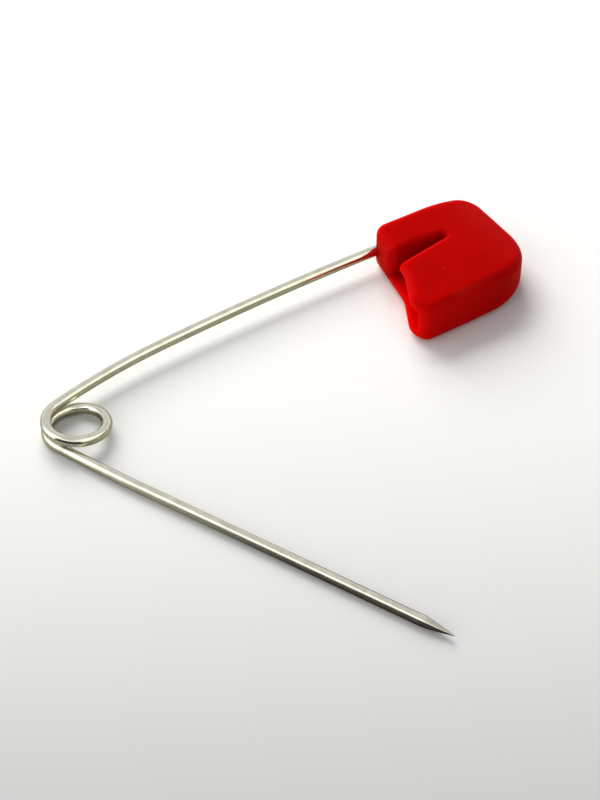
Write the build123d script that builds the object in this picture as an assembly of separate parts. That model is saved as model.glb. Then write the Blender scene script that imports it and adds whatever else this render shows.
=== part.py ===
"""Large safety pin: one bent spring wire with a ground point, and a moulded plastic head.

Lengths are in millimetres and angles in degrees. The origin is the coil's axis on the surface
that the open pin lies on. +X runs from the coil along the fixed arm's end, +Z is up.
"""
from build123d import *
import math
import os

os.makedirs("parts", exist_ok=True)

# Wire
wire_diameter = 1.15
coil_radius = 3.1            # from the coil's axis to the middle of the wire
turn_gap = 0.43              # clear height between two turns of the coil

# Fixed arm, from the coil to the head
fixed_bend = 11.3            # bend of the stretch beside the coil
fixed_bend_length = 14.1
fixed_bow = 4.75             # gentle bow of the rest
fixed_bow_length = 28.3

# Wire end inside the head
anchor_run = 6.5             # straight run from the fixed arm's end
anchor_hook_radius = 1.65
anchor_hook = 60             # turn of the hook
anchor_tail = 1.0

# Pin arm, open
open_angle = 67.6            # from +X to the arm, where it leaves the coil
pin_bend = 3.0               # slight bend beside the coil
pin_bend_length = 10.9
pin_length = 46.6            # from the coil to the tip of the point
root_run = 3.2               # from the coil to the place where the arm lifts
neck_run = 3.9               # from there to the place where the arm flexes
flex_gap = 0.03              # clearance of each rounded end in its cup

# Ground point
point_length = 3.4
point_tip_radius = 0.05
point_bulge_share = 0.62     # radius half way along the point, as a share of the wire's

# Head, measured from the middle of the fixed wire where it enters
head_thickness = 5.3         # at the mouth
head_reach = 12.95           # to the far end
far_side = 0.85              # to the side face beside the fixed wire
near_side = 14.25            # to the opposite side face
far_flare = 0.15             # widening towards the far end, on the fixed wire's side
near_taper = 0.5             # narrowing towards the far end, on the opposite side
top_bend_start = 6.15        # from here the top falls towards the far end
top_fall = 1.42              # at the far end
bottom_bend_start = 2.0      # from here the bottom rises towards the far end
bottom_rise = 0.86           # at the far end
mouth_start = 0.17           # before the wire's entry, the corner beside the fixed wire
mouth_dip = 1.6              # before the entry, the corner beside the slot
mouth_dip_across = 7.65
mouth_lip = 3.95             # before the entry, the fullest place of the mouth
mouth_lip_across = 12.25
mouth_corner = 3.0           # before the entry, the corner at the opposite side face
far_corner_radius = 2.6
near_corner_radius = 7.0
mouth_far_radius = 1.6
mouth_near_radius = 1.35
mouth_dip_radius = 6.0
mouth_lip_radius = 2.4
edge_radius = 1.1
rim_radius = 0.24            # rounding of the pocket's rim at the mouth

# Pocket and slot of the head
floor_wall = 1.35            # bottom wall and top wall
side_wall = 1.15
end_wall = 2.0
block_width = 3.95           # from the fixed wire to the pocket, at the wire's entry
block_taper = 0.25           # more width at the slot's closed end
block_corner_radius = 1.0    # of the block's upright corner at the mouth
pocket_far_radius = 2.6
pocket_near_radius = 4.5
slot_end = 5.75              # slot's closed end, behind the wire's entry
slot_end_width = 0.82
slot_end_radius = 0.38
slot_mouth_width = 2.45
slot_corner_radius = 0.9
slot_rounding = 0.65         # rounding of the slot's top edge, cut in two flats
flare_share = 1.2            # height of such a flat's cut, as a share of its depth
overrun = 3.0                # how far cutting shapes run past a face

# Limits that keep the roundings within their walls
side_share = 0.98            # of a side of an outline, for the roundings at its two ends
end_share = 0.46             # of the far end's thickness, for the bottom wall and top wall
edge_share = 0.85            # of a wall's thickness, for the outer edge's rounding
rim_share = 0.95             # of what the outer rounding leaves, for the rim's
near_zero = 1e-4
upright = 0.7                # rise of an edge's middle, from which it counts as upright

full_turn = 360
quarter_turn = 90

wire_radius = wire_diameter / 2
coil_drop = wire_diameter + turn_gap
low_level = wire_radius
top_level = low_level + coil_drop
fixed_lean = fixed_bend + fixed_bow
end_thickness = head_thickness - top_fall - bottom_rise
flat_wall = min(floor_wall, end_share * end_thickness)
edge_rounding = min(edge_radius, edge_share * flat_wall)
rim_rounding = min(rim_radius, rim_share * (flat_wall - edge_rounding))
pocket_back = head_reach - end_wall


def circle_point(angle, height=0):
    """Point of the coil's middle circle at an angle from +X."""
    a = math.radians(angle)
    return Vector(coil_radius * math.cos(a), coil_radius * math.sin(a), height)


def heading(angle):
    """Level unit vector at an angle from +X."""
    return Vector(math.cos(math.radians(angle)), math.sin(math.radians(angle)), 0)


def bend_end(start, start_angle, radius, turn):
    """End of a level bend that turns by an angle, positive to the left."""
    side = math.copysign(radius, turn)
    left_start = heading(start_angle + quarter_turn)
    left_end = heading(start_angle + turn + quarter_turn)
    return start + (left_start - left_end) * side


def level_bend(start, start_angle, radius, turn):
    """Level arc from a point and a heading."""
    middle = bend_end(start, start_angle, radius, turn / 2)
    return ThreePointArc(start, middle, bend_end(start, start_angle, radius, turn)).edge()


def tube(edges):
    """Round wire along touching edges."""
    path = Wire(edges)
    section = Plane(origin=path @ 0, z_dir=path % 0) * Circle(wire_radius)
    return sweep(section, path=path)


def rounded_end(place, direction):
    """Ball that rounds a wire's start; direction points along the wire."""
    return Plane(origin=place, z_dir=direction).location * Sphere(wire_radius)


def cup(place):
    """Ball shaped space that the next piece's rounded end turns in."""
    return Pos(*place) * Sphere(wire_radius + flex_gap)


# Coil: from the fixed arm down to the pin arm, a little over one and a quarter turns.
# The wire runs a quarter turn ahead of its place on the circle.
coil_start = quarter_turn + fixed_lean
coil_end = 2 * full_turn - quarter_turn - open_angle
level_turn = coil_end - full_turn - coil_start     # the stretches that lie above one another
ramp_start = coil_start + level_turn
ramp_turn = coil_end - level_turn - ramp_start


def coil_height(angle):
    """Height of the wire's middle, with a soft start and end of its descent."""
    t = min(max((angle - ramp_start) / ramp_turn, 0), 1)
    return top_level - coil_drop * t * t * (3 - 2 * t)


def coil_tangent(angle):
    """Unit vector along the coil."""
    t = min(max((angle - ramp_start) / ramp_turn, 0), 1)
    fall = coil_drop * 6 * t * (1 - t) / math.radians(ramp_turn)
    level = heading(angle + quarter_turn) * coil_radius
    return Vector(level.X, level.Y, -fall).normalized()


def biarc(start_angle, end_angle):
    """Two arcs that join two places of the coil, tangent at both and to each other."""
    p0, p1 = (circle_point(a, coil_height(a)) for a in (start_angle, end_angle))
    t0, t1 = coil_tangent(start_angle), coil_tangent(end_angle)
    chord = p1 - p0
    both = t0 + t1
    fold = 2 * (1 - t0.dot(t1))
    reach = (math.sqrt(chord.dot(both) ** 2 + fold * chord.dot(chord)) - chord.dot(both)) / fold
    first, last = p0 + t0 * reach, p1 - t1 * reach
    join = (first + last) * 0.5
    along = (last - first).normalized()
    return [Edge.make_tangent_arc(p0, t0, join), Edge.make_tangent_arc(join, along, p1)]


def coil_knots():
    """Angles where the coil's biarcs meet, about a quarter turn apart."""
    pieces = math.ceil(ramp_turn / quarter_turn)
    knots = [coil_start]
    knots += [ramp_start + ramp_turn * i / pieces for i in range(pieces + 1)]
    return knots + [coil_end]


def make_coil_spring():
    knots = coil_knots()
    edges = []
    for a, b in zip(knots, knots[1:]):
        edges += biarc(a, b)
    return tube(edges)


# Fixed arm and the wire end in the head
fixed_start = circle_point(coil_start, top_level)
fixed_bend_radius = fixed_bend_length / math.radians(fixed_bend)
fixed_bow_radius = fixed_bow_length / math.radians(fixed_bow)
fixed_middle = bend_end(fixed_start, fixed_lean, fixed_bend_radius, -fixed_bend)
entry = bend_end(fixed_middle, fixed_bow, fixed_bow_radius, -fixed_bow)


def make_fixed_arm():
    return tube([
        level_bend(fixed_start, fixed_lean, fixed_bend_radius, -fixed_bend),
        level_bend(fixed_middle, fixed_bow, fixed_bow_radius, -fixed_bow),
    ])


def make_wire_anchor():
    run_end = entry + heading(0) * anchor_run
    hook_end = bend_end(run_end, 0, anchor_hook_radius, -anchor_hook)
    return tube([
        Line(entry, run_end).edge(),
        level_bend(run_end, 0, anchor_hook_radius, -anchor_hook),
        Line(hook_end, hook_end + heading(-anchor_hook) * anchor_tail).edge(),
    ])


# Pin arm: root, neck, arm and point
pin_start = circle_point(coil_end, low_level)
pin_bend_radius = pin_bend_length / math.radians(pin_bend)


def pin_angle(distance):
    """Heading of the pin arm at a distance from the coil."""
    return pin_bend * min(distance / pin_bend_length, 1) - open_angle


def pin_place(distance):
    """Middle of the pin arm at a distance from the coil."""
    bent = min(distance, pin_bend_length)
    turn = pin_bend * bent / pin_bend_length
    place = bend_end(pin_start, -open_angle, pin_bend_radius, turn)
    return place + heading(pin_angle(distance)) * (distance - bent)


def pin_edges(start, end):
    """The arm's middle line between two distances from the coil."""
    bend_to = min(end, pin_bend_length)
    edges = []
    if start < bend_to:
        middle = pin_place((start + bend_to) / 2)
        edges.append(ThreePointArc(pin_place(start), middle, pin_place(bend_to)).edge())
    if end > bend_to:
        edges.append(Line(pin_place(max(start, bend_to)), pin_place(end)).edge())
    return edges


lift_at = root_run
flex_at = root_run + neck_run
point_at = pin_length - point_length
lift_place = pin_place(lift_at)
flex_place = pin_place(flex_at)


def make_arm_root():
    return tube(pin_edges(0, lift_at)) - cup(lift_place)


def make_arm_neck():
    body = tube(pin_edges(lift_at, flex_at)) + rounded_end(lift_place, heading(pin_angle(lift_at)))
    return body - cup(flex_place)


def make_pin_arm():
    start = rounded_end(flex_place, heading(pin_angle(flex_at)))
    return tube(pin_edges(flex_at, point_at)) + start


def make_pin_point():
    base, tip = (wire_radius, 0), (point_tip_radius, point_length)
    half_way = (wire_radius * point_bulge_share, point_length / 2)
    outline = Polyline(tip, (0, point_length), (0, 0), base)
    outline += ThreePointArc(base, half_way, tip)
    turned = revolve(Plane.XZ * make_face(outline), Axis.Z)
    place = Plane(origin=pin_place(point_at), z_dir=heading(pin_angle(pin_length)))
    return place.location * turned


# Head
def head_place(ahead, across):
    """Place in plan from the wire's entry: ahead is away from the coil, across to the near side."""
    return (entry.X + ahead, entry.Y - across)


def corner(shape, ahead, across):
    """The outline's vertex nearest to a place."""
    x, y = head_place(ahead, across)
    return shape.vertices().sort_by_distance((x, y, 0))[0]


def fitting_radii(points, radii):
    """Radii made smaller where two neighbouring roundings would use up their side."""
    count = len(points)
    places = [Vector(*p) for p in points]
    used = []
    for i in range(count):
        back, ahead = places[i - 1] - places[i], places[(i + 1) % count] - places[i]
        used.append(radii[i] / math.tan(math.radians(back.get_angle(ahead)) / 2))
    fits = [1] * count
    for i in range(count):
        j = (i + 1) % count
        wanted = used[i] + used[j]
        room = side_share * (places[j] - places[i]).length
        if wanted > room:
            fits[i], fits[j] = min(fits[i], room / wanted), min(fits[j], room / wanted)
    return [radius * fit for radius, fit in zip(radii, fits)]


def rounded_plan(points, radii):
    """Flat outline with its corners rounded, the largest radius first."""
    plan = make_face(Polyline(*[head_place(*p) for p in points], close=True))
    radii = fitting_radii(points, radii)
    order = sorted(range(len(points)), key=lambda i: -radii[i])
    for i in order:
        if radii[i] > 0:
            plan = fillet(corner(plan, *points[i]), radii[i])
    return plan


def head_outline():
    points = [
        (-mouth_start, -far_side),
        (-mouth_dip, mouth_dip_across),
        (-mouth_lip, mouth_lip_across),
        (-mouth_corner, near_side),
        (head_reach, near_side - near_taper),
        (head_reach, -far_side - far_flare),
    ]
    radii = [mouth_far_radius, mouth_dip_radius, mouth_lip_radius, mouth_near_radius,
             near_corner_radius, far_corner_radius]
    return rounded_plan(points, radii)


def block_side(ahead):
    """Where the block between the wire and the pocket ends, across from the wire."""
    return block_width + block_taper * ahead / slot_end


def pocket_outline():
    """Hollow between the block, the near side wall and the end wall, open at the mouth."""
    front = mouth_lip + overrun
    slope = near_taper / (head_reach + mouth_corner)
    points = [
        (-front, block_side(-front)),
        (pocket_back, block_side(pocket_back)),
        (pocket_back, near_side - side_wall - slope * (pocket_back + mouth_corner)),
        (-front, near_side - side_wall + slope * (front - mouth_corner)),
    ]
    return rounded_plan(points, [0, pocket_far_radius, pocket_near_radius, 0])


def slot_outline():
    """Tapered way down into the pocket, along the block's side."""
    front = mouth_dip + overrun
    mouth_near = block_side(-mouth_dip) + slot_mouth_width
    points = [
        (-front, block_side(-front)),
        (slot_end, block_side(slot_end)),
        (slot_end, block_side(slot_end) + slot_end_width),
        (-mouth_dip, mouth_near),
        (-front, mouth_near + overrun),
    ]
    return rounded_plan(points, [0, slot_end_radius, slot_end_radius, slot_corner_radius, 0])


def corner_outline():
    """What is cut off to round the block's upright corner at the mouth."""
    slope = (mouth_dip - mouth_start) / (mouth_dip_across + far_side)
    lean = block_taper / slot_end
    ahead = -(mouth_start + slope * (block_width + far_side)) / (1 + slope * lean)
    sharp = Vector(*head_place(ahead, block_side(ahead)))
    mouth_way, side_way = Vector(slope, 1).normalized(), Vector(1, -lean).normalized()
    mouth_out, side_out = Vector(-1, slope).normalized(), Vector(-lean, -1).normalized()
    half_angle = math.radians(mouth_way.get_angle(side_way) / 2)
    radius = block_corner_radius
    inward = (mouth_way + side_way).normalized()
    start = sharp + mouth_way * (radius / math.tan(half_angle))
    end = sharp + side_way * (radius / math.tan(half_angle))
    middle = sharp + inward * (radius / math.sin(half_angle) - radius)
    path = Polyline(start, start + mouth_out * radius, sharp - inward * 2 * radius,
                    end + side_out * radius, end)
    return make_face(path + ThreePointArc(end, middle, start))


def height_slab(inset):
    """Space between the head's bottom and top faces, both moved inwards by the same height."""
    low, high = inset, head_thickness - inset
    start, end = entry.X - mouth_lip - overrun, entry.X + head_reach
    low_bend, high_bend = entry.X + bottom_bend_start, entry.X + top_bend_start
    low_end, high_end = low + bottom_rise, high - top_fall
    profile = Polyline((low_bend, low), (start, low), (start, high), (high_bend, high))
    profile += TangentArc((high_bend, high), (end, high_end), tangent=(1, 0))
    profile += Line((end, high_end), (end, low_end))
    profile += TangentArc((low_bend, low), (end, low_end), tangent=(1, 0))
    side = Plane.XZ.offset(-entry.Y - far_side - overrun)
    return extrude(side * make_face(profile), amount=far_side + near_side + 2 * overrun)


def flat_edges(shape):
    """Edges that don't stand upright."""
    return [edge for edge in shape.edges() if abs((edge % 0.5).Z) < upright]


def rim_edges(shape, outline):
    """Edges above and below the pocket's opening in the side of the head."""
    border = outline.face().outer_wire()
    lowest, highest = flat_wall - near_zero, head_thickness - flat_wall + near_zero
    rim = []
    for edge in flat_edges(shape):
        middle = edge @ 0.5
        on_border = border.distance_to(Vector(middle.X, middle.Y, 0)) < near_zero
        if on_border and lowest < middle.Z < highest:
            rim.append(edge)
    return rim


def slot_space():
    """The slot, with its top edge and the block's corner rounded."""
    half = head_thickness / 2
    space = Pos(0, 0, half) * extrude(slot_outline(), amount=half + overrun)
    for angle in (quarter_turn / 4, quarter_turn * 3 / 4):
        depth = slot_rounding * (1 - math.tan(math.radians(angle / 2)))
        flare = extrude(slot_outline(), amount=flare_share * depth, taper=-angle)
        space += Pos(0, 0, head_thickness - depth) * flare
    corner_cut = extrude(corner_outline(), amount=head_thickness)
    return space + Pos(0, 0, flat_wall) * corner_cut


def make_head(wires):
    outline = head_outline()
    body = extrude(outline, amount=head_thickness) & height_slab(0)
    body = fillet(flat_edges(body), edge_rounding)
    body -= extrude(pocket_outline(), amount=head_thickness) & height_slab(flat_wall)
    body = fillet(rim_edges(body, outline), rim_rounding)
    return body - slot_space() - wires


def least_coil_gap():
    """Clear distance from the coil to itself, over half a turn or more along the wire."""
    count = int(coil_end - coil_start)
    angles = [coil_start + (coil_end - coil_start) * i / count for i in range(count + 1)]
    points = [circle_point(a, coil_height(a)) for a in angles]
    pairs = ((p, q) for i, p in enumerate(points) for q in points[i + 2 * quarter_turn:])
    return min((p - q).length for p, q in pairs) - wire_diameter


wire_anchor = make_wire_anchor()
fixed_arm = make_fixed_arm()
nodes = {
    "head": make_head([wire_anchor, fixed_arm]),
    "wire_anchor": wire_anchor,
    "fixed_arm": fixed_arm,
    "coil_spring": make_coil_spring(),
    "arm_root": make_arm_root(),
    "arm_neck": make_arm_neck(),
    "pin_arm": make_pin_arm(),
    "pin_point": make_pin_point(),
}

for name, shape in nodes.items():
    export_step(shape, f"parts/{name}.step")

print(f"least gap of the coil to itself: {least_coil_gap():.3f} mm")
print(f"wire enters the head at {entry.X:.3f}, {entry.Y:.3f}, {entry.Z:.3f}")
print(f"lift hinge at {lift_place.X:.4f}, {lift_place.Y:.4f}, heading {pin_angle(lift_at):.3f}")
print(f"flex hinge at {flex_place.X:.4f}, {flex_place.Y:.4f}, heading {pin_angle(flex_at):.3f}")
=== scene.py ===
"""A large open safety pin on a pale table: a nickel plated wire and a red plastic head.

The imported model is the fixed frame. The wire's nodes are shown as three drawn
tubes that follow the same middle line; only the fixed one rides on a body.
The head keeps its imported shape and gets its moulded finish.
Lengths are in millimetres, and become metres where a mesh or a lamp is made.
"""

import logging
import math
from dataclasses import dataclass, field
from enum import Enum
from typing import Mapping

import bpy
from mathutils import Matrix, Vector


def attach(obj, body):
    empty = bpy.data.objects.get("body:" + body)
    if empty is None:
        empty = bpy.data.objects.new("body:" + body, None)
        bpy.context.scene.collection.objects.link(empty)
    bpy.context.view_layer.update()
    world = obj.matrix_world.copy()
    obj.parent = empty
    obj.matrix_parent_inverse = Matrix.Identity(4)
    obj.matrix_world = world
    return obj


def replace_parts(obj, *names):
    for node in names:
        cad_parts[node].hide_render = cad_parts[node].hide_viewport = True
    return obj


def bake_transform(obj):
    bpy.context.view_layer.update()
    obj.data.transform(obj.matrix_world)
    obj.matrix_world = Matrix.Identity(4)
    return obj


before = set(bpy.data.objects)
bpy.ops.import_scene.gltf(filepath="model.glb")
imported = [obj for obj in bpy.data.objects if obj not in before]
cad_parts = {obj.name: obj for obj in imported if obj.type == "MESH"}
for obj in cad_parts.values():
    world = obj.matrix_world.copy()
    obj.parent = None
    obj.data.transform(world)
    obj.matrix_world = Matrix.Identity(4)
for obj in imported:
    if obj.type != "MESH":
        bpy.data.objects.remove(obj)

LOG = logging.getLogger("safety_pin")
MM = 0.001
WIRE_RADIUS = 0.575
QUARTER_TURN = 90.0
FULL_TURN = 360.0

Pair = tuple[float, float]
Spot = tuple[float, float, float]
Tint = tuple[float, float, float]
Colour = tuple[float, float, float, float]


class Body(Enum):
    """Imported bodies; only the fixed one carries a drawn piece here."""

    FIXED = "fixed_wire_and_head"
    ROOT = "root"
    NECK = "neck"
    PIN = "pin"


class Slot(Enum):
    """Material slot of the record; the drawn pieces don't use it."""

    WIRE = "wire"


def ease(share: float) -> float:
    """Soft step from 0 to 1, level at both ends."""
    return share * share * (3 - 2 * share)


@dataclass(frozen=True)
class Grain:
    """Size of a noise's blobs in millimetres, its octaves and the finer octaves' weight."""

    size: float
    octaves: float = 2.0
    weight: float = 0.5


class Number:
    """A number socket that takes part in plain arithmetic."""

    def __init__(self, sheet: "Sheet", socket: bpy.types.NodeSocket) -> None:
        """Wraps an output socket of a sheet."""
        self.sheet = sheet
        self.socket = socket

    def _math(self, operation: str, *values: "Number | float") -> "Number":
        """Adds one Math node and gives its result."""
        node = self.sheet.node("ShaderNodeMath", {"operation": operation}, dict(enumerate(values)))
        return Number(self.sheet, node.outputs[0])

    def __add__(self, other: "Number | float") -> "Number":
        """Sum."""
        return self._math("ADD", self, other)

    __radd__ = __add__

    def __sub__(self, other: "Number | float") -> "Number":
        """Difference."""
        return self._math("SUBTRACT", self, other)

    def __rsub__(self, other: float) -> "Number":
        """Reflected difference."""
        return self._math("SUBTRACT", other, self)

    def __mul__(self, other: "Number | float") -> "Number":
        """Product."""
        return self._math("MULTIPLY", self, other)

    __rmul__ = __mul__

    def __truediv__(self, other: "Number | float") -> "Number":
        """Quotient."""
        return self._math("DIVIDE", self, other)

    def __pow__(self, power: float) -> "Number":
        """Power."""
        return self._math("POWER", self, power)

    def most(self, other: "Number | float") -> "Number":
        """The larger of two."""
        return self._math("MAXIMUM", self, other)

    def within(self, low: float, high: float) -> "Number":
        """Soft step from 0 at low to 1 at high.

        Args:
            low: Value that gives 0.
            high: Value that gives 1. It may be below low, for a falling step.

        Returns:
            The step.
        """
        node = self.sheet.node(
            "ShaderNodeMapRange",
            {"interpolation_type": "SMOOTHSTEP", "clamp": True},
            {"Value": self, "From Min": low, "From Max": high, "To Min": 0.0, "To Max": 1.0},
        )
        return Number(self.sheet, node.outputs[0])

    def between(self, rise: Pair, fall: Pair) -> "Number":
        """Soft band. The first value of each pair gives 0, and the second gives 1."""
        return self.within(*rise) * self.within(*fall)


class Sheet:
    """A node tree that finishes and shapes are written on."""

    def __init__(self, tree: bpy.types.NodeTree) -> None:
        """Clears a tree for writing."""
        self.tree = tree
        tree.nodes.clear()

    def node(
        self,
        kind: str,
        settings: Mapping[str, object] | None = None,
        sockets: Mapping[int | str, object] | None = None,
    ) -> bpy.types.Node:
        """Adds a node.

        Args:
            kind: The node's type.
            settings: Its own settings, set first.
            sockets: Values or links of its inputs, by place, name or identifier.

        Returns:
            The node.
        """
        made = self.tree.nodes.new(kind)
        for name, value in (settings or {}).items():
            setattr(made, name, value)
        for key, value in (sockets or {}).items():
            self._feed(self._input(made, key), value)
        return made

    @staticmethod
    def _input(node: bpy.types.Node, key: int | str) -> bpy.types.NodeSocket:
        """Finds an input.

        Args:
            node: The node.
            key: Place, name or identifier.

        Returns:
            The socket.
        """
        if isinstance(key, int):
            return node.inputs[key]
        return next(s for s in node.inputs if key in (s.identifier, s.name))

    def _feed(self, target: bpy.types.NodeSocket, value: object) -> None:
        """Links or sets one input.

        Args:
            target: The input.
            value: A Number, an output socket, or a plain value.
        """
        if isinstance(value, Number):
            value = value.socket
        if isinstance(value, bpy.types.NodeSocket):
            self.tree.links.new(value, target)
        else:
            target.default_value = value

    def number(self, kind: str, settings: Mapping[str, object] | None = None,
               sockets: Mapping[int | str, object] | None = None,
               output: int | str = 0) -> Number:
        """Adds a node and takes one of its outputs as a number."""
        return Number(self, self.node(kind, settings, sockets).outputs[output])

    def attribute(self, name: str) -> Number:
        """Number that a mesh carries under a name."""
        return self.number("ShaderNodeAttribute", {"attribute_name": name}, None, "Fac")

    def ray(self, kind: str) -> Number:
        """1 where the light path is of a kind, else 0."""
        return self.number("ShaderNodeLightPath", None, None, kind)

    def parts(self, place: bpy.types.NodeSocket) -> tuple[Number, Number, Number]:
        """Splits a vector into its X, Y and Z numbers."""
        split = self.node("ShaderNodeSeparateXYZ", None, {0: place}).outputs
        return Number(self, split["X"]), Number(self, split["Y"]), Number(self, split["Z"])

    def upright(self, height: Number) -> bpy.types.NodeSocket:
        """Vector that stands upright with a length."""
        return self.node("ShaderNodeCombineXYZ", None, {"Z": height}).outputs[0]

    def blend(self, share: Number, first: object, second: object) -> bpy.types.NodeSocket:
        """Mixes two colours.

        Args:
            share: 0 for the first, 1 for the second.
            first: Colour or link.
            second: Colour or link.

        Returns:
            The mixed colour.
        """
        node = self.node(
            "ShaderNodeMix",
            {"data_type": "RGBA", "blend_type": "MIX", "clamp_factor": True},
            {"Factor_Float": share, "A_Color": first, "B_Color": second},
        )
        return next(s for s in node.outputs if s.identifier == "Result_Color")

    def vector(self, operation: str, *values: object) -> bpy.types.NodeSocket:
        """Adds one Vector Math node and gives its vector."""
        node = self.node("ShaderNodeVectorMath", {"operation": operation}, dict(enumerate(values)))
        return node.outputs["Vector"]

    def noise(self, place: bpy.types.NodeSocket, grain: Grain) -> Number:
        """Smooth noise from about 0 to 1.

        Args:
            place: Coordinates in metres.
            grain: Its size and octaves.

        Returns:
            The noise.
        """
        return self.number(
            "ShaderNodeTexNoise", {"noise_dimensions": "3D"},
            {"Vector": place, "Scale": 1 / (grain.size * MM), "Detail": grain.octaves,
             "Roughness": grain.weight},
        )

    def bump(self, height: Number, strength: float, depth: float) -> bpy.types.NodeSocket:
        """Normal of a surface with small heights, whose depth is in millimetres."""
        sockets = {"Strength": strength, "Distance": depth * MM, "Height": height}
        return self.node("ShaderNodeBump", None, sockets).outputs[0]

    def object_place(self) -> bpy.types.NodeSocket:
        """Object coordinates, in metres."""
        return self.node("ShaderNodeTexCoord").outputs["Object"]


def new_sheet(name: str) -> tuple[bpy.types.Material, Sheet]:
    """Makes an empty node material.

    Args:
        name: The finish's name.

    Returns:
        The material and its sheet.
    """
    material = bpy.data.materials.new(name)
    material.use_nodes = True
    return material, Sheet(material.node_tree)


def close_sheet(sheet: Sheet, shader: bpy.types.Node) -> None:
    """Joins a shader to the material's output."""
    sheet.node("ShaderNodeOutputMaterial", None, {"Surface": shader.outputs[0]})


@dataclass(frozen=True)
class NickelWire:
    """Drawn spring wire with worn nickel plating and a ground point.

    Grains and depths are in millimetres. Edges are the noise values between which a mark comes
    up, and shares say how much each mark counts.
    """

    bright: Colour = (0.82, 0.81, 0.73, 1.0)
    dull: Colour = (0.62, 0.60, 0.53, 1.0)
    steel: Colour = (0.56, 0.54, 0.49, 1.0)
    speck: Colour = (0.20, 0.18, 0.15, 1.0)
    nick: Colour = (0.16, 0.14, 0.12, 1.0)
    wire_radius: float = WIRE_RADIUS
    streak_grain: Grain = Grain(0.09, 3.0, 0.65)
    streak_length: float = 0.004
    cloud_grain: Grain = Grain(1.6, 3.0, 0.6)
    speck_grain: Grain = Grain(0.16, 2.0, 0.6)
    ring_grain: Grain = Grain(0.12)
    ring_length: float = 6.0
    cloud_share: float = 0.6
    worn_edges: Pair = (0.38, 0.66)
    worn_share: float = 0.8
    speck_edges: Pair = (0.70, 0.76)
    speck_share: float = 0.35
    nick_share: float = 0.2
    polish: float = 0.12
    streak_rough: float = 0.05
    worn_rough: float = 0.07
    speck_rough: float = 0.15
    ground_rough: float = 0.06
    streak_height: float = 0.35
    cloud_height: float = 0.25
    speck_height: float = -0.5
    ring_height: float = 0.8
    nick_height: float = -0.5
    bump_strength: float = 0.25
    bump_depth: float = 0.02

    def material(self) -> bpy.types.Material:
        """Builds the finish.

        Returns:
            The material.
        """
        material, sheet = new_sheet("nickel_wire")
        along, ground, nick = (sheet.attribute(name) for name in ("along", "ground", "nick"))
        around = sheet.node("ShaderNodeAttribute", {"attribute_name": "around"}).outputs["Vector"]
        skin = sheet.node("ShaderNodeVectorMath", {"operation": "SCALE"},
                          {0: around, "Scale": self.wire_radius * MM}).outputs["Vector"]
        drawn = sheet.vector("ADD", skin, sheet.upright(along * self.streak_length))
        turned = sheet.vector("ADD", skin, sheet.upright(along * self.ring_length))
        place = sheet.object_place()
        streaks = sheet.noise(drawn, self.streak_grain)
        rings = sheet.noise(turned, self.ring_grain)
        clouds = sheet.noise(place, self.cloud_grain)
        specks = sheet.noise(place, self.speck_grain).within(*self.speck_edges)
        worn = clouds * self.cloud_share + streaks * (1 - self.cloud_share)
        worn = worn.within(*self.worn_edges)
        colour = sheet.blend(worn * self.worn_share, self.bright, self.dull)
        colour = sheet.blend(specks * self.speck_share, colour, self.speck)
        colour = sheet.blend(ground, colour, self.steel)
        colour = sheet.blend(nick * self.nick_share, colour, self.nick)
        polish = (self.polish + streaks * self.streak_rough + worn * self.worn_rough
                  + specks * self.speck_rough + ground * self.ground_rough)
        height = (streaks * self.streak_height + clouds * self.cloud_height
                  + specks * self.speck_height + rings * ground * self.ring_height
                  + nick * self.nick_height)
        normal = sheet.bump(height, self.bump_strength, self.bump_depth)
        shader = sheet.node(
            "ShaderNodeBsdfPrincipled", None,
            {"Base Color": colour, "Metallic": 1.0, "Roughness": polish, "Normal": normal},
        )
        close_sheet(sheet, shader)
        return material


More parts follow.
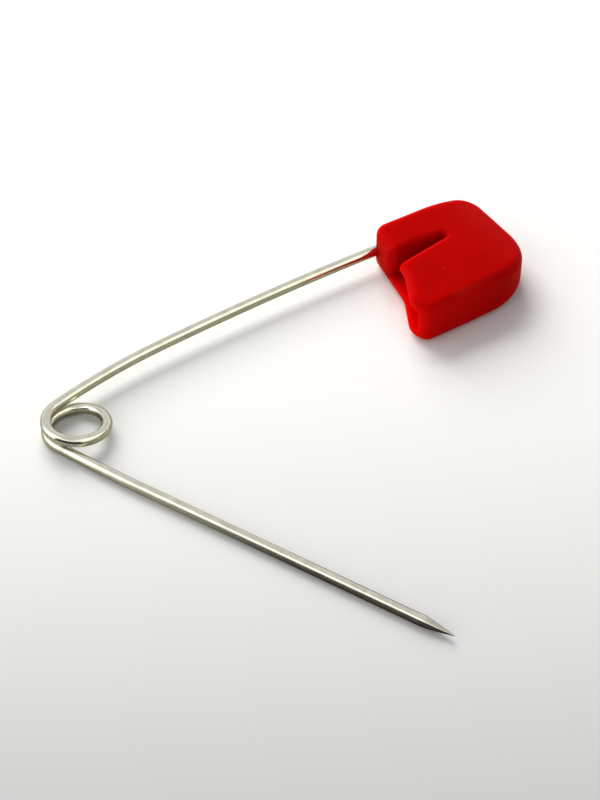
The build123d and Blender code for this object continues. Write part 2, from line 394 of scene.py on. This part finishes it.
@dataclass(frozen=True)
class RedPlastic:
    """Moulded plastic with a soft gloss, faint flow marks and scuffs, a painted glow on the thin
    walls by the pocket and painted shade round the wire's entry.

    Places, grains and depths are in millimetres. Edges are the noise values between which a
    mark comes up. A pair of places lets a mark fade in from the first to the second.
    """

    body: Colour = (0.43, 0.0006, 0.0002, 1.0)
    deep: Colour = (0.37, 0.0004, 0.0002, 1.0)
    scuff: Colour = (0.62, 0.060, 0.04, 1.0)
    patch: Colour = (0.55, 0.080, 0.06, 1.0)
    # Painted shade: a dark ring round the wire's entry into the head.
    painted_entry_shade: Colour = (0.10, 0.0005, 0.0003, 1.0)
    # Painted glow colour of the thin walls by the pocket.
    painted_glow_colour: Colour = (0.62, 0.0010, 0.0004, 1.0)
    flow_grain: Grain = Grain(5.0)
    flow_edges: Pair = (0.35, 0.7)
    flow_share: float = 0.5
    moulded_grain: Grain = Grain(0.22, 3.0, 0.6)
    scratch_grain: Grain = Grain(0.45, 4.0, 0.7)
    scratch_edges: Pair = (0.66, 0.74)
    scratch_share: float = 0.25
    rub_grain: Grain = Grain(0.16, 4.0, 0.7)
    rub_edges: Pair = (0.48, 0.60)
    rub_share: float = 0.22
    crease_across: tuple[Pair, Pair] = ((-6.3, -6.8), (-7.5, -7.1))
    crease_up: Pair = (4.4, 5.0)
    crease_along: tuple[Pair, Pair] = ((41.2, 42.5), (48.0, 45.0))
    pits: tuple[Spot, ...] = ((47.7, 0.1, 5.3), (43.4, -2.9, 5.3), (48.5, -2.4, 5.3))
    pit_radius: float = 0.16
    pit_share: float = 0.4
    spot_core: float = 0.4
    patch_middle: Spot = (41.25, 6.1, 0.9)
    patch_radius: float = 1.1
    patch_share: float = 0.4
    # Place and size of the painted shade round the wire's entry.
    wire_entry: Spot = (41.25, 6.69, 2.15)
    entry_radius: float = 1.0
    entry_shade_share: float = 0.85
    pocket_along: Pair = (47.5, 42.5)
    pocket_across: tuple[Pair, Pair] = ((2.5, 1.0), (-7.0, -6.2))
    pocket_up: Pair = (4.9, 4.0)
    side_along: Pair = (48.5, 42.5)
    side_across: Pair = (-6.2, -7.0)
    side_share: float = 0.4
    gloss: float = 0.48
    grain_rough: float = 0.08
    scratch_rough: float = 0.12
    rub_rough: float = 0.15
    grain_height: float = 0.6
    flow_height: float = 0.4
    rub_height: float = 0.3
    pit_depth: float = 2.0
    bump_strength: float = 0.35
    bump_depth: float = 0.05
    refraction: float = 1.49
    shine: float = 0.02
    glow: float = 0.80
    glow_reach: Tint = (1.0, 0.02, 0.015)
    glow_depth: float = 3.0

    def material(self) -> bpy.types.Material:
        """Builds the finish.

        Returns:
            The material.
        """
        material, sheet = new_sheet("red_plastic")
        place = sheet.object_place()
        flow = sheet.noise(place, self.flow_grain)
        grain = sheet.noise(place, self.moulded_grain)
        scratch = sheet.noise(place, self.scratch_grain).within(*self.scratch_edges)
        rubbed = self.crease(sheet, place)
        rubbed = rubbed * sheet.noise(place, self.rub_grain).within(*self.rub_edges)
        pitted = self.near(sheet, place, self.pits[0], self.pit_radius)
        for pit in self.pits[1:]:
            pitted = pitted.most(self.near(sheet, place, pit, self.pit_radius))
        patch = self.near(sheet, place, self.patch_middle, self.patch_radius)
        painted_entry_shade_mask = self.near(sheet, place, self.wire_entry, self.entry_radius)
        marked = scratch * self.scratch_share + rubbed * self.rub_share + pitted * self.pit_share
        flowed = flow.within(*self.flow_edges) * self.flow_share
        colour = sheet.blend(flowed, self.body, self.deep)
        # Painted glow: the thin walls by the pocket are painted a brighter red, standing in for
        # light shining through them.
        colour = sheet.blend(self.painted_glow_mask(sheet, place), colour, self.painted_glow_colour)
        colour = sheet.blend(marked, colour, self.scuff)
        colour = sheet.blend(patch * self.patch_share, colour, self.patch)
        # Painted shade round the wire's entry, standing in for the shadow in the hole's recess.
        colour = sheet.blend(painted_entry_shade_mask * self.entry_shade_share, colour, self.painted_entry_shade)
        gloss = (self.gloss + grain * self.grain_rough + scratch * self.scratch_rough
                 + rubbed * self.rub_rough)
        height = (grain * self.grain_height + flow * self.flow_height
                  + rubbed * self.rub_height - pitted * self.pit_depth)
        normal = sheet.bump(height, self.bump_strength, self.bump_depth)
        shader = sheet.node(
            "ShaderNodeBsdfPrincipled", None,
            {"Base Color": colour, "Roughness": gloss, "Normal": normal, "IOR": self.refraction,
             "Specular IOR Level": self.shine, "Subsurface Weight": self.glow,
             "Subsurface Radius": self.glow_reach, "Subsurface Scale": self.glow_depth * MM},
        )
        close_sheet(sheet, shader)
        return material

    def crease(self, sheet: Sheet, place: bpy.types.NodeSocket) -> Number:
        """Finds the near top edge that cloth rubs.

        Args:
            sheet: The finish's sheet.
            place: Object coordinates in metres.

        Returns:
            1 on the edge, 0 away from it.
        """
        x, y, z = (number / MM for number in sheet.parts(place))
        level = y.between(*self.crease_across) * x.between(*self.crease_along)
        return level * z.within(*self.crease_up)

    def painted_glow_mask(self, sheet: Sheet, place: bpy.types.NodeSocket) -> Number:
        """Finds the thin walls by the pocket and paints them brighter: a painted glow that stands
        in for light shining through them.

        Args:
            sheet: The finish's sheet.
            place: Object coordinates in metres.

        Returns:
            How much painted glow each place gets.
        """
        x, y, z = (number / MM for number in sheet.parts(place))
        pocket = x.within(*self.pocket_along) * y.between(*self.pocket_across)
        side = x.within(*self.side_along) * y.within(*self.side_across)
        return (pocket * z.within(*self.pocket_up)).most(side * self.side_share)

    def near(self, sheet: Sheet, place: bpy.types.NodeSocket, spot: Spot,
             radius: float) -> Number:
        """Soft round spot.

        Args:
            sheet: The finish's sheet.
            place: Object coordinates in metres.
            spot: Its middle in millimetres.
            radius: Its radius in millimetres.

        Returns:
            1 in the spot's core, 0 beyond the radius.
        """
        middle = tuple(c * MM for c in spot)
        away = sheet.number("ShaderNodeVectorMath", {"operation": "DISTANCE"},
                            {0: place, 1: middle}, "Value")
        return away.within(radius * MM, radius * MM * self.spot_core)


@dataclass(frozen=True)
class PaleTable:
    """Smooth pale table top with painted shade that darkens it towards the camera.

    In the wire it shows a painted reflection, darker than it is, most of all near the camera.
    """

    colour: Colour = (0.95, 0.95, 0.945, 1.0)
    # Painted shade: the table is darkened towards the camera, standing in for the light's
    # fall-off.
    painted_falloff_shade: Colour = (0.44, 0.44, 0.44, 1.0)
    mottle: Colour = (0.60, 0.60, 0.59, 1.0)
    # Painted reflection: the table as the wire mirrors it, darker than the table and darkest near
    # the camera.
    mirrored: Colour = (0.40, 0.405, 0.30, 1.0)
    painted_near_reflection: Colour = (0.06, 0.05, 0.045, 1.0)
    away: Pair = (0.5274, 0.8496)
    fade: Pair = (20.0, -110.0)
    painted_reflection_fade: Pair = (-9.0, -21.0)
    mottle_grain: Grain = Grain(0.5)
    mottle_share: float = 0.04
    roughness: float = 0.85
    shine: float = 0.1

    def material(self) -> bpy.types.Material:
        """Builds the finish.

        Returns:
            The material.
        """
        material, sheet = new_sheet("pale_table")
        place = sheet.object_place()
        x, y, _ = (number / MM for number in sheet.parts(place))
        depth = x * self.away[0] + y * self.away[1]
        mottle = sheet.noise(place, self.mottle_grain) * self.mottle_share
        # Painted shade: darker towards the camera, standing in for the light's fall-off.
        colour = sheet.blend(depth.within(*self.fade), self.colour, self.painted_falloff_shade)
        colour = sheet.blend(mottle, colour, self.mottle)
        # Painted reflection: glossy rays see a darker table, standing in for shade round the wire.
        mirrored = sheet.blend(depth.within(*self.painted_reflection_fade), self.mirrored,
                               self.painted_near_reflection)
        colour = sheet.blend(sheet.ray("Is Glossy Ray"), colour, mirrored)
        shader = sheet.node(
            "ShaderNodeBsdfPrincipled", None,
            {"Base Color": colour, "Roughness": self.roughness,
             "Specular IOR Level": self.shine},
        )
        close_sheet(sheet, shader)
        return material


@dataclass
class WireLine:
    """Middle line of a bent wire, walked stretch by stretch.

    Attributes:
        place: Where the walk stands, in millimetres.
        heading: Level direction of the walk, in degrees from +X.
        points: Places passed so far.
        thickness: Share of the wire's radius at each place.
        ground: How far each place belongs to the ground point.
        nick: How deep a nick each place has.
    """

    place: Vector
    heading: float
    points: list[Vector] = field(default_factory=list)
    thickness: list[float] = field(default_factory=list)
    ground: list[float] = field(default_factory=list)
    nick: list[float] = field(default_factory=list)

    def mark(self, thickness: float = 1.0, ground: float = 0.0) -> None:
        """Keeps the place where the walk stands.

        Args:
            thickness: Share of the wire's radius here.
            ground: 1 on the ground point.
        """
        self.points.append(self.place.copy())
        self.thickness.append(thickness)
        self.ground.append(ground)
        self.nick.append(0.0)

    def step(self, length: float, turn: float) -> None:
        """Moves along a level arc, or straight on.

        Args:
            length: Arc length in millimetres.
            turn: Turn in degrees, positive to the left.
        """
        bend = math.radians(turn)
        chord = length if turn == 0 else 2 * length / bend * math.sin(bend / 2)
        way = math.radians(self.heading + turn / 2)
        self.place = self.place + Vector((math.cos(way), math.sin(way), 0)) * chord
        self.heading += turn

    def run(self, length: float, turn: float = 0.0, pitch: float = 0.4) -> None:
        """Walks a level stretch and keeps its places.

        Args:
            length: Length of the stretch.
            turn: Its whole turn in degrees.
            pitch: Longest distance between two kept places.
        """
        count = max(1, math.ceil(length / pitch))
        for _ in range(count):
            self.step(length / count, turn / count)
            self.mark()

    def raise_by(self, height: float) -> None:
        """Lifts the kept places, softly from the first one to the whole height at the last.

        Args:
            height: The last place's rise.
        """
        last = len(self.points) - 1
        for i, place in enumerate(self.points):
            place.z += height * ease(i / last)
        self.place = self.points[-1].copy()


@dataclass(frozen=True)
class WireTube:
    """Draws a round tube along a middle line, by a Geometry Nodes tree."""

    radius: float = WIRE_RADIUS
    sides: int = 40
    side_corners: int = 4
    tree_name: str = "wire_tube"

    def tree(self) -> bpy.types.NodeTree:
        """Builds the tree with its named inputs.

        Returns:
            The tree.
        """
        tree = bpy.data.node_groups.new(self.tree_name, "GeometryNodeTree")
        inputs = (("Middle Line", "NodeSocketGeometry"), ("Wire Radius", "NodeSocketFloat"),
                  ("Sides", "NodeSocketInt"), ("Finish", "NodeSocketMaterial"))
        for name, kind in inputs:
            tree.interface.new_socket(name, in_out="INPUT", socket_type=kind)
        tree.interface.new_socket("Tube", in_out="OUTPUT", socket_type="NodeSocketGeometry")
        sheet = Sheet(tree)
        given = sheet.node("NodeGroupInput").outputs
        line = sheet.node("GeometryNodeMeshToCurve", None, {"Mesh": given["Middle Line"]})
        length = sheet.node("GeometryNodeSplineParameter").outputs["Length"]
        line = sheet.node(
            "GeometryNodeStoreNamedAttribute", {"data_type": "FLOAT", "domain": "POINT"},
            {"Geometry": line.outputs[0], "Name": "along", "Value": length})
        ring = sheet.node("GeometryNodeCurvePrimitiveCircle", {"mode": "RADIUS"},
                          {"Resolution": given["Sides"], "Radius": 1.0})
        ring = sheet.node(
            "GeometryNodeStoreNamedAttribute", {"data_type": "FLOAT_VECTOR", "domain": "POINT"},
            {"Geometry": ring.outputs[0], "Name": "around",
             "Value": sheet.node("GeometryNodeInputPosition").outputs[0]})
        share = sheet.node("GeometryNodeInputNamedAttribute", {"data_type": "FLOAT"},
                           {"Name": "thickness"}).outputs[0]
        thick = sheet.node("ShaderNodeMath", {"operation": "MULTIPLY"},
                           {0: share, 1: given["Wire Radius"]}).outputs[0]
        tube = sheet.node(
            "GeometryNodeCurveToMesh", None,
            {"Curve": line.outputs[0], "Profile Curve": ring.outputs[0], "Scale": thick,
             "Fill Caps": True})
        corners = sheet.node("GeometryNodeInputMeshFaceNeighbors").outputs["Vertex Count"]
        side_face = sheet.node("FunctionNodeCompare",
                               {"data_type": "INT", "operation": "LESS_EQUAL"},
                               {"A_INT": corners, "B_INT": self.side_corners})
        smooth = sheet.node(
            "GeometryNodeSetShadeSmooth", {"domain": "FACE"},
            {"Geometry": tube.outputs[0], "Shade Smooth": side_face.outputs[0]})
        whole = sheet.node("GeometryNodeRealizeInstances", None,
                           {"Geometry": smooth.outputs[0]})
        dressed = sheet.node("GeometryNodeSetMaterial", None,
                             {"Geometry": whole.outputs[0], "Material": given["Finish"]})
        sheet.node("NodeGroupOutput", None, {"Tube": dressed.outputs[0]})
        return tree

    def draw(self, name: str, line: WireLine, finish: bpy.types.Material) -> bpy.types.Object:
        """Makes a tube as a plain mesh.

        Args:
            name: The piece's name.
            line: Its middle line.
            finish: Its material.

        Returns:
            The piece, not riding on anything yet.
        """
        path = bpy.data.meshes.new(name + "_line")
        count = len(line.points)
        path.from_pydata([p * MM for p in line.points],
                         [(i, i + 1) for i in range(count - 1)], [])
        traits = {"thickness": line.thickness, "ground": line.ground, "nick": line.nick}
        for key, values in traits.items():
            path.attributes.new(key, "FLOAT", "POINT").data.foreach_set("value", values)
        piece = bpy.data.objects.new(name, path)
        bpy.context.scene.collection.objects.link(piece)
        shaper = piece.modifiers.new("tube", "NODES")
        shaper.node_group = bpy.data.node_groups.get(self.tree_name) or self.tree()
        wanted = {"Wire Radius": self.radius * MM, "Sides": self.sides, "Finish": finish}
        for item in shaper.node_group.interface.items_tree:
            if item.in_out == "INPUT" and item.name in wanted:
                shaper[item.identifier] = wanted[item.name]
        graph = bpy.context.evaluated_depsgraph_get()
        plain = bpy.data.meshes.new_from_object(piece.evaluated_get(graph))
        piece.modifiers.clear()
        piece.data = plain
        plain.name = name
        return piece


@dataclass
class BentWire:
    """The one wire of the pin: anchor, fixed arm, coil and pin arm."""

    tube: WireTube = field(default_factory=WireTube)
    coil_radius: float = 3.1
    packed_gap: float = 0.43
    turn_gap: float = 0.15
    fixed_bend: float = 11.3
    fixed_bend_length: float = 14.1
    fixed_bow: float = 4.75
    fixed_bow_length: float = 28.3
    anchor_run: float = 6.5
    anchor_hook_radius: float = 1.65
    anchor_hook: float = 60.0
    anchor_tail: float = 1.0
    open_angle: float = 67.6
    pin_bend: float = 3.0
    pin_bend_length: float = 10.9
    pin_length: float = 46.6
    lift_at: float = 3.2
    flex_at: float = 7.1
    point_length: float = 3.4
    tip_share: float = 0.09
    bulge: float = 0.075
    point_steps: int = 28
    ground_from: float = 0.25
    close_turn: float = 57.2
    open_turn: float = 15.0
    lap_share: float = 0.985
    root_nick: float = 1.0
    pin_nick: float = 36.85

    def __post_init__(self) -> None:
        """Works out the coil from the sizes."""
        diameter = 2 * self.tube.radius
        self.low = self.tube.radius
        self.top = self.low + diameter + self.turn_gap
        self.coil_start = QUARTER_TURN + self.fixed_bend + self.fixed_bow
        self.coil_end = FULL_TURN + 3 * QUARTER_TURN - self.open_angle
        level = self.coil_end - FULL_TURN - self.coil_start
        self.ramp_start = self.coil_start + level
        self.ramp_turn = self.coil_end - level - self.ramp_start
        self.neck_middle = (self.lift_at + self.flex_at) / 2
        self.bend_half = self.neck_middle - self.lift_at

    def coil_place(self, angle: float) -> Vector:
        """Middle of the coil's wire.

        Args:
            angle: Winding angle in degrees.

        Returns:
            The place in millimetres.
        """
        t = min(max((angle - self.ramp_start) / self.ramp_turn, 0), 1)
        height = self.top - (self.top - self.low) * ease(t)
        a = math.radians(angle)
        return Vector((self.coil_radius * math.cos(a), self.coil_radius * math.sin(a), height))

    def wind(self, line: WireLine, start: float, end: float, pitch: float = 4.0) -> None:
        """Adds a stretch of the coil to a line.

        Args:
            line: The line, which the stretch goes on from.
            start: Winding angle that isn't kept again.
            end: Winding angle of its last place.
            pitch: Longest step in degrees.
        """
        count = math.ceil((end - start) / pitch)
        for i in range(1, count + 1):
            angle = start + (end - start) * i / count
            line.place = self.coil_place(angle)
            line.heading = angle + QUARTER_TURN
            line.mark()

    def fixed_line(self) -> WireLine:
        """Line of the wire that keeps still: hook in the head, fixed arm and coil.

        Returns:
            The line, from the hook's end to the coil's low turn.
        """
        lean = self.fixed_bend + self.fixed_bow
        out = WireLine(self.coil_place(self.coil_start), lean)
        out.mark()
        out.run(self.fixed_bend_length, -self.fixed_bend)
        out.run(self.fixed_bow_length, -self.fixed_bow)
        out.raise_by(self.packed_gap - self.turn_gap)
        out.run(self.anchor_run)
        out.run(self.anchor_hook_radius * math.radians(self.anchor_hook), -self.anchor_hook)
        out.run(self.anchor_tail)
        line = WireLine(out.points[0], 0)
        for place in reversed(out.points):
            line.place = place
            line.mark()
        self.wind(line, self.coil_start, self.coil_end - self.open_turn)
        return line

    def pin_start(self) -> WireLine:
        """A walk that stands where the pin arm leaves the coil."""
        return WireLine(self.coil_place(self.coil_end), -self.open_angle)

    def pin_place(self, distance: float) -> Vector:
        """Middle of the pin arm.

        Args:
            distance: Distance from the coil in millimetres.

        Returns:
            The place in millimetres.
        """
        walk = self.pin_start()
        bent = min(distance, self.pin_bend_length)
        walk.step(bent, self.pin_bend * bent / self.pin_bend_length)
        walk.step(distance - bent, 0)
        return walk.place

    def root_line(self) -> WireLine:
        """Line from inside the coil's low turn to the middle of the neck.

        Returns:
            The line, a hair thinner where it lies in the fixed stretch of the coil.
        """
        start = self.coil_end - self.open_turn - self.close_turn
        line = WireLine(self.coil_place(start), start + QUARTER_TURN)
        line.mark(self.lap_share)
        self.wind(line, start, self.coil_end - self.open_turn)
        line.thickness[:] = [self.lap_share] * len(line.points)
        self.wind(line, self.coil_end - self.open_turn, self.coil_end)
        self.arm(line, 0, self.neck_middle)
        return line

    def arm(self, line: WireLine, start: float, end: float, pitch: float = 0.3) -> None:
        """Adds a stretch of the pin arm to a line.

        Args:
            line: The line, which the stretch goes on from.
            start: Distance from the coil that isn't kept again.
            end: Distance of its last place.
            pitch: Longest step.
        """
        count = math.ceil((end - start) / pitch)
        for i in range(1, count + 1):
            distance = start + (end - start) * i / count
            line.place = self.pin_place(distance)
            line.mark()
            nearest = min(abs(distance - self.root_nick), abs(distance - self.pin_nick))
            line.nick[-1] = float(nearest < pitch / 2)

    def pin_line(self) -> WireLine:
        """Line from the middle of the neck to the tip of the point.

        Returns:
            The line, with the point's taper.
        """
        base = self.pin_length - self.point_length
        line = WireLine(self.pin_place(self.neck_middle), -self.open_angle)
        line.mark()
        self.arm(line, self.neck_middle, base)
        for i in range(1, self.point_steps + 1):
            t = i / self.point_steps
            line.place = self.pin_place(base + self.point_length * t)
            taper = 1 - (1 - self.tip_share) * t
            bulge = self.bulge * 4 * t * (1 - t)
            line.mark(taper + bulge, min(1.0, t / self.ground_from))
        return line

    def build(self, finish: bpy.types.Material) -> list[bpy.types.Object]:
        """Draws the wire and hangs the fixed piece on its body; the root and pin pieces are baked
        where they are.

        Args:
            finish: The wire's material.

        Returns:
            The pieces.
        """
        fixed = self.tube.draw("fixed_wire", self.fixed_line(), finish)
        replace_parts(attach(fixed, Body.FIXED.value), "fixed_arm", "coil_spring", "wire_anchor")
        root = self.tube.draw("arm_root_wire", self.root_line(), finish)
        self.pin_place(self.lift_at - self.bend_half) * MM
        self.pin_place(self.lift_at + self.bend_half) * MM
        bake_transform(root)
        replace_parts(root, "arm_root", "arm_neck")
        pin = self.tube.draw("pin_wire", self.pin_line(), finish)
        self.pin_place(self.flex_at - self.bend_half) * MM
        self.pin_place(self.flex_at + self.bend_half) * MM
        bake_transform(pin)
        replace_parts(pin, "pin_arm", "pin_point")
        pieces = [fixed, root, pin]
        for piece in pieces:
            LOG.info("%s: %d faces", piece.name, len(piece.data.polygons))
        return pieces


@dataclass
class PlasticHead:
    """The moulded head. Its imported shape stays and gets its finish."""

    node: str = "head"

    def dress(self, finish: bpy.types.Material) -> bpy.types.Object:
        """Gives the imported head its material.

        Args:
            finish: The plastic.

        Returns:
            The head's object.
        """
        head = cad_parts[self.node]
        head.data.materials.clear()
        head.data.materials.append(finish)
        LOG.info("%s: %d faces", head.name, len(head.data.polygons))
        return head


@dataclass(frozen=True)
class Room:
    """Even light, and the walls that the polished wire mirrors.

    The wire shows a cream wall at the right of the camera, a white wall at its left, a dark
    wall in between and a pale ceiling. A turn is where a wall's middle lies, in degrees from
    +X. A reach is a pair of cosines from that middle, and a top is a pair of upward parts of a
    direction. A wall fades in from the first of a pair to the second. The least level part
    keeps the way straight up from a division by zero.
    """

    even: Colour = (0.32, 0.32, 0.32, 1.0)
    window: Colour = (1.45, 1.45, 1.45, 1.0)
    backdrop: Colour = (0.95, 0.95, 0.95, 1.0)
    ceiling: Colour = (0.72, 0.72, 0.68, 1.0)
    behind: Colour = (0.90, 0.90, 0.88, 1.0)
    cream: Colour = (1.40, 1.38, 1.20, 1.0)
    skirting: Colour = (0.32, 0.33, 0.22, 1.0)
    white: Colour = (1.60, 1.58, 1.48, 1.0)
    dark: Colour = (0.008, 0.004, 0.004, 1.0)
    cream_turn: float = 300.0
    white_turn: float = 165.0
    dark_turn: float = 219.5
    cream_reach: Pair = (0.45, 0.75)
    white_reach: Pair = (0.65, 0.90)
    dark_reach: Pair = (0.70, 0.78)
    window_reach: Pair = (0.20, 0.80)
    behind_top: Pair = (0.55, 0.25)
    cream_top: Pair = (1.0, 0.93)
    skirting_top: Pair = (0.50, 0.38)
    white_top: Pair = (0.93, 0.84)
    ledge: tuple[Pair, Pair] = ((0.60, 0.67), (0.84, 0.76))
    dark_top: Pair = (0.66, 0.60)
    window_top: Pair = (0.80, 0.50)
    least_level: float = 1e-6

    def build(self) -> None:
        """Makes the room the scene's world."""
        world = bpy.data.worlds.new("room")
        bpy.context.scene.world = world
        world.use_nodes = True
        sheet = Sheet(world.node_tree)
        way = sheet.node("ShaderNodeTexCoord").outputs["Generated"]
        x, y, up = sheet.parts(way)
        level = (x * x + y * y).most(self.least_level) ** 0.5
        east, north = x / level, y / level
        window = self.facing(east, north, self.white_turn).within(*self.window_reach)
        colour = sheet.blend(window * up.within(*self.window_top), self.even, self.window)
        mirrored = self.mirrored(sheet, east, north, up)
        colour = sheet.blend(sheet.ray("Is Glossy Ray"), colour, mirrored)
        colour = sheet.blend(sheet.ray("Is Camera Ray"), colour, self.backdrop)
        glow = sheet.node("ShaderNodeBackground", None, {"Color": colour, "Strength": 1.0})
        sheet.node("ShaderNodeOutputWorld", None, {"Surface": glow.outputs[0]})

    def mirrored(self, sheet: Sheet, east: Number, north: Number,
                 up: Number) -> bpy.types.NodeSocket:
        """Colours what the wire mirrors.

        Args:
            sheet: The world's sheet.
            east: The direction's level +X part, of a level length of 1.
            north: Its level +Y part.
            up: Its upward part.

        Returns:
            The colour.
        """
        cream = self.facing(east, north, self.cream_turn).within(*self.cream_reach)
        white = self.facing(east, north, self.white_turn).within(*self.white_reach)
        dark = self.facing(east, north, self.dark_turn).within(*self.dark_reach)
        colour = sheet.blend(up.within(*self.behind_top), self.ceiling, self.behind)
        colour = sheet.blend(cream * up.within(*self.cream_top), colour, self.cream)
        colour = sheet.blend(cream * up.within(*self.skirting_top), colour, self.skirting)
        colour = sheet.blend(white * up.within(*self.white_top), colour, self.white)
        colour = sheet.blend(dark * up.between(*self.ledge), colour, self.white)
        return sheet.blend(dark * up.within(*self.dark_top), colour, self.dark)

    @staticmethod
    def facing(east: Number, north: Number, turn: float) -> Number:
        """Cosine of the angle between a level direction and a wall's middle."""
        return east * math.cos(math.radians(turn)) + north * math.sin(math.radians(turn))


@dataclass
class Studio:
    """Table, soft light and camera. Lengths are in millimetres."""

    eye: Spot = (-66.25, -150.04, 153.80)
    aim: Spot = (22.10, -7.73, 0.0)
    focal_share: float = 2178.4 / 600
    sensor: float = 36.0
    clip: Pair = (10.0, 10000.0)
    table_size: float = 1600.0
    key_place: Spot = (70.0, 262.0, 200.0)
    key_size: float = 260.0
    key_power: float = 1.37
    key_colour: Tint = (1.0, 0.99, 0.96)
    room: Room = field(default_factory=Room)

    def table(self) -> bpy.types.Object:
        """Lays the table top.

        Returns:
            The table.
        """
        half = self.table_size / 2 * MM
        mesh = bpy.data.meshes.new("table")
        corners = [(-half, -half, 0), (half, -half, 0), (half, half, 0), (-half, half, 0)]
        mesh.from_pydata(corners, [], [(0, 1, 2, 3)])
        mesh.materials.append(PaleTable().material())
        top = bpy.data.objects.new("table", mesh)
        bpy.context.scene.collection.objects.link(top)
        return top

    def key_lamp(self) -> None:
        """Hangs the square soft lamp behind the pin, facing it and unseen in the wire."""
        light = bpy.data.lights.new("key", "AREA")
        light.size = self.key_size * MM
        light.energy = self.key_power
        light.color = self.key_colour
        lamp = bpy.data.objects.new("key", light)
        lamp.visible_glossy = False
        lamp.location = Vector(self.key_place) * MM
        way = Vector(self.aim) - Vector(self.key_place)
        lamp.rotation_euler = way.to_track_quat("-Z", "Y").to_euler()
        bpy.context.scene.collection.objects.link(lamp)

    def camera(self) -> bpy.types.Object:
        """Places the camera at the photograph's angle.

        Returns:
            The camera.
        """
        data = bpy.data.cameras.new("camera")
        data.sensor_fit = "HORIZONTAL"
        data.sensor_width = self.sensor
        data.lens = self.sensor * self.focal_share
        data.clip_start, data.clip_end = (distance * MM for distance in self.clip)
        camera = bpy.data.objects.new("camera", data)
        camera.location = Vector(self.eye) * MM
        way = Vector(self.aim) - Vector(self.eye)
        camera.rotation_euler = way.to_track_quat("-Z", "Y").to_euler()
        bpy.context.scene.collection.objects.link(camera)
        bpy.context.scene.camera = camera
        return camera

    def build(self) -> None:
        """Sets up the whole studio."""
        self.camera()
        self.table()
        self.key_lamp()
        self.room.build()
        bpy.context.scene.view_settings.view_transform = "Standard"


def main() -> None:
    """Builds the pin and its studio in order."""
    logging.basicConfig(level=logging.INFO, format="%(name)s %(message)s")
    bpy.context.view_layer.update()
    Studio().build()
    BentWire().build(NickelWire().material())
    PlasticHead().dress(RedPlastic().material())


if __name__ == "__main__":
    main()
